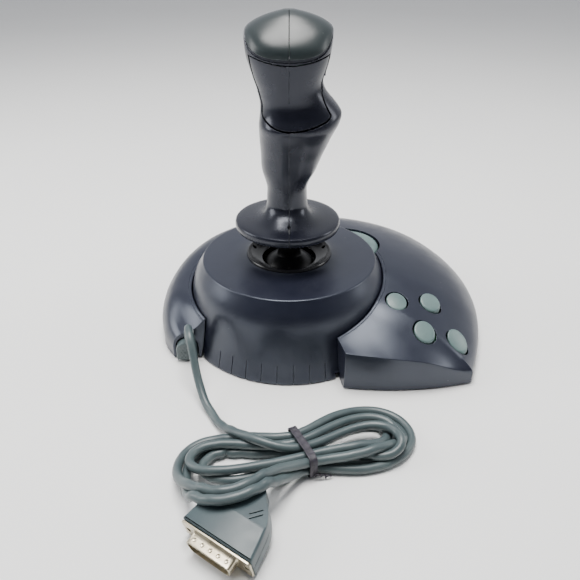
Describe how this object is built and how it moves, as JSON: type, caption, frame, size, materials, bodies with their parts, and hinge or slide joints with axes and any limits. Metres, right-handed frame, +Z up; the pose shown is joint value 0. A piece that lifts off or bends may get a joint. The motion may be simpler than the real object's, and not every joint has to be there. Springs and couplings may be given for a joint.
{
  "type": "flight joystick",
  "caption": "Desktop flight joystick: round hub on a wing-shaped base with buttons and a thumb wheel, moulded trigger grip on a hand-rest disc, tied cord and game-port plug.",
  "frame": {"origin": "on the resting surface, under the middle of the object's box without its cord", "axes": "+Z up; +Y away from the user, towards the cord; +X to the user's right, so the button wing is at -X. The stick's own axis stands at X 22 mm, Y 21 mm."},
  "size_m": [0.2228, 0.3169, 0.2032],
  "materials": {
    "charcoal_plastic": "satin, fine texture",
    "gloss_black_plastic": "gloss",
    "cap_grey_plastic": "satin",
    "green_grey_plastic": "satin",
    "cord_grey_vinyl": "satin vinyl",
    "black_rubber": "matt",
    "zinc_steel": "satin",
    "nickel_plate": "satin nickel",
    "white_acetal": "smooth",
    "green_circuit_board": "solder mask",
    "blue_potentiometer": "smooth"
  },
  "bodies": {
    "base": {"hub_housing": "charcoal_plastic", "stem_ring": "gloss_black_plastic", "base_casing": "charcoal_plastic", "base_bottom_plate": "charcoal_plastic", "ballast_plate": "zinc_steel", "rubber_foot_1": "black_rubber", "rubber_foot_2": "black_rubber", "rubber_foot_3": "black_rubber", "rubber_foot_4": "black_rubber", "case_screw_1": "zinc_steel", "case_screw_2": "zinc_steel", "case_screw_3": "zinc_steel", "case_screw_4": "zinc_steel", "button_switch_board": "green_circuit_board", "main_circuit_board": "green_circuit_board", "throttle_potentiometer": "blue_potentiometer", "gimbal_frame": "white_acetal", "pitch_potentiometer": "blue_potentiometer", "pitch_return_spring": "zinc_steel", "strain_relief": "cord_grey_vinyl", "cord_lead": "cord_grey_vinyl", "cord_hank": "cord_grey_vinyl", "cable_tie": "black_rubber", "plug_hood": "cord_grey_vinyl", "plug_shell": "nickel_plate", "plug_pin_insert": "gloss_black_plastic"},
    "yoke": {"pitch_yoke": "white_acetal", "pitch_pin_left": "zinc_steel", "pitch_pin_right": "zinc_steel", "roll_potentiometer": "blue_potentiometer", "roll_return_spring": "zinc_steel"},
    "stick": {"roll_block": "white_acetal", "roll_pin_front": "zinc_steel", "roll_pin_back": "zinc_steel", "stick_shaft": "zinc_steel", "dust_dome": "black_rubber", "twist_bush": "white_acetal"},
    "grip": {"grip_left_shell": "charcoal_plastic", "grip_right_shell": "charcoal_plastic", "grip_cap": "cap_grey_plastic", "grip_screw_1": "zinc_steel", "grip_screw_2": "zinc_steel", "grip_circuit_board": "green_circuit_board", "trigger_pin": "zinc_steel", "trigger_switch": "green_circuit_board", "hat_seat": "white_acetal", "twist_potentiometer": "blue_potentiometer"},
    "trigger": {"trigger": "charcoal_plastic"},
    "hat_ring": {"hat_pivot_ring": "white_acetal"},
    "hat": {"hat_switch": "green_grey_plastic"},
    "thumb_button_1": {"thumb_button_1": "green_grey_plastic"},
    "thumb_button_2": {"thumb_button_2": "green_grey_plastic"},
    "thumb_button_3": {"thumb_button_3": "green_grey_plastic"},
    "base_button_1": {"base_button_1": "green_grey_plastic"},
    "base_button_2": {"base_button_2": "green_grey_plastic"},
    "base_button_3": {"base_button_3": "green_grey_plastic"},
    "base_button_4": {"base_button_4": "green_grey_plastic"},
    "throttle": {"throttle_wheel": "green_grey_plastic", "throttle_spindle": "zinc_steel"}
  },
  "joints": [
    {"name": "stick_pitch", "type": "hinge", "parent": "base", "child": "yoke", "pos_m": [0.0222, 0.02053, 0.033], "axis": [1, 0, 0], "range_deg": [-16, 16], "stiffness_Nm_per_rad": 1.4},
    {"name": "stick_roll", "type": "hinge", "parent": "yoke", "child": "stick", "pos_m": [0.0222, 0.02053, 0.033], "axis": [0, 1, 0], "range_deg": [-16, 16], "stiffness_Nm_per_rad": 1.4},
    {"name": "stick_twist", "type": "hinge", "parent": "stick", "child": "grip", "pos_m": [0.0222, 0.02053, 0.033], "axis": [0, 0, 1], "range_deg": [-15, 15], "stiffness_Nm_per_rad": 0.3},
    {"name": "trigger_pull", "type": "hinge", "parent": "grip", "child": "trigger", "pos_m": [0.0222, 0.03403, 0.174], "axis": [-1, 0, 0], "range_deg": [0, 5], "stiffness_Nm_per_rad": 0.3, "springref_deg": -5.73},
    {"name": "hat_tilt_up", "type": "hinge", "parent": "grip", "child": "hat_ring", "pos_m": [0.0222, 0.00303, 0.178], "axis": [1, 0, 0], "range_deg": [-10, 10], "stiffness_Nm_per_rad": 0.03},
    {"name": "hat_tilt_side", "type": "hinge", "parent": "hat_ring", "child": "hat", "pos_m": [0.0222, 0.00303, 0.178], "axis": [0, 0, 1], "range_deg": [-10, 10], "stiffness_Nm_per_rad": 0.03},
    {"name": "thumb_press_1", "type": "slide", "parent": "grip", "child": "thumb_button_1", "axis": [0, 1, 0], "range_m": [0, 0.0014], "stiffness_N_per_m": 500, "springref_m": -0.0006},
    {"name": "thumb_press_2", "type": "slide", "parent": "grip", "child": "thumb_button_2", "axis": [0, 1, 0], "range_m": [0, 0.0014], "stiffness_N_per_m": 500, "springref_m": -0.0006},
    {"name": "thumb_press_3", "type": "slide", "parent": "grip", "child": "thumb_button_3", "axis": [0, 1, 0], "range_m": [0, 0.0014], "stiffness_N_per_m": 500, "springref_m": -0.0006},
    {"name": "base_press_1", "type": "slide", "parent": "base", "child": "base_button_1", "axis": [0, 0, -1], "range_m": [0, 0.0016], "stiffness_N_per_m": 400, "springref_m": -0.0006},
    {"name": "base_press_2", "type": "slide", "parent": "base", "child": "base_button_2", "axis": [0, 0, -1], "range_m": [0, 0.0016], "stiffness_N_per_m": 400, "springref_m": -0.0006},
    {"name": "base_press_3", "type": "slide", "parent": "base", "child": "base_button_3", "axis": [0, 0, -1], "range_m": [0, 0.0016], "stiffness_N_per_m": 400, "springref_m": -0.0006},
    {"name": "base_press_4", "type": "slide", "parent": "base", "child": "base_button_4", "axis": [0, 0, -1], "range_m": [0, 0.0016], "stiffness_N_per_m": 400, "springref_m": -0.0006},
    {"name": "throttle_turn", "type": "hinge", "parent": "base", "child": "throttle", "pos_m": [-0.019, -0.00797, 0.043], "axis": [0, 0, 1], "range_deg": [-60, 60]}
  ]
}
